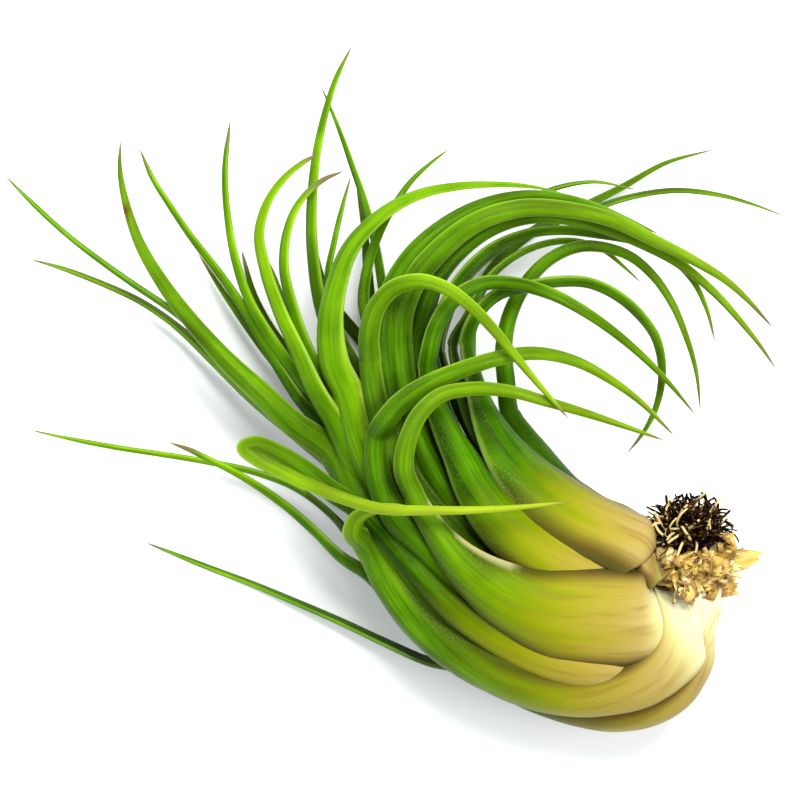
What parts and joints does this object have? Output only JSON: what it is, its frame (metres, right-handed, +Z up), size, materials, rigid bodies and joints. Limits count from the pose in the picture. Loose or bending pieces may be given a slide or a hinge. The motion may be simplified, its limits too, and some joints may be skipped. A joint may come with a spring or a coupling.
{
  "type": "sky plant",
  "caption": "Sky plant lying on its side: nested leaf bases form a curved bulb and fan out into long channelled leaves, with a tuft of dry roots at the other end.",
  "frame": {"origin": "a point in the small flat under the bulb that the plant rests on", "axes": "+Z up from the surface it lies on, +X level towards the root end, +Y level towards the side the leaves sweep to"},
  "size_m": [0.1055, 0.0914, 0.0305],
  "materials": {
    "leaf": "satin",
    "stem": "matte",
    "roots": "matte",
    "scales": "matte"
  },
  "bodies": {
    "root": {"dry_roots": "roots", "leaf_01": "leaf", "leaf_02": "leaf", "leaf_03": "leaf", "leaf_04": "leaf", "leaf_05": "leaf", "leaf_06": "leaf", "leaf_07": "leaf", "leaf_08": "leaf", "leaf_09": "leaf", "leaf_10": "leaf", "leaf_11": "leaf", "leaf_12": "leaf", "leaf_13": "leaf", "leaf_14": "leaf", "leaf_15": "leaf", "leaf_16": "leaf", "leaf_17": "leaf", "leaf_18": "leaf", "leaf_19": "leaf", "leaf_20": "leaf", "leaf_21": "leaf", "leaf_22": "leaf", "leaf_23": "leaf", "leaf_24": "leaf", "leaf_25": "leaf", "leaf_26": "leaf", "leaf_27": "leaf", "leaf_28": "leaf", "leaf_29": "leaf", "leaf_30": "leaf", "leaf_31": "leaf", "leaf_32": "leaf", "leaf_33": "leaf", "leaf_34": "leaf", "leaf_35": "leaf", "leaf_36": "leaf", "leaf_37": "leaf", "leaf_38": "leaf", "leaf_39": "leaf", "old_leaf_scales": "scales", "stem": "stem"}
  },
  "joints": []
}
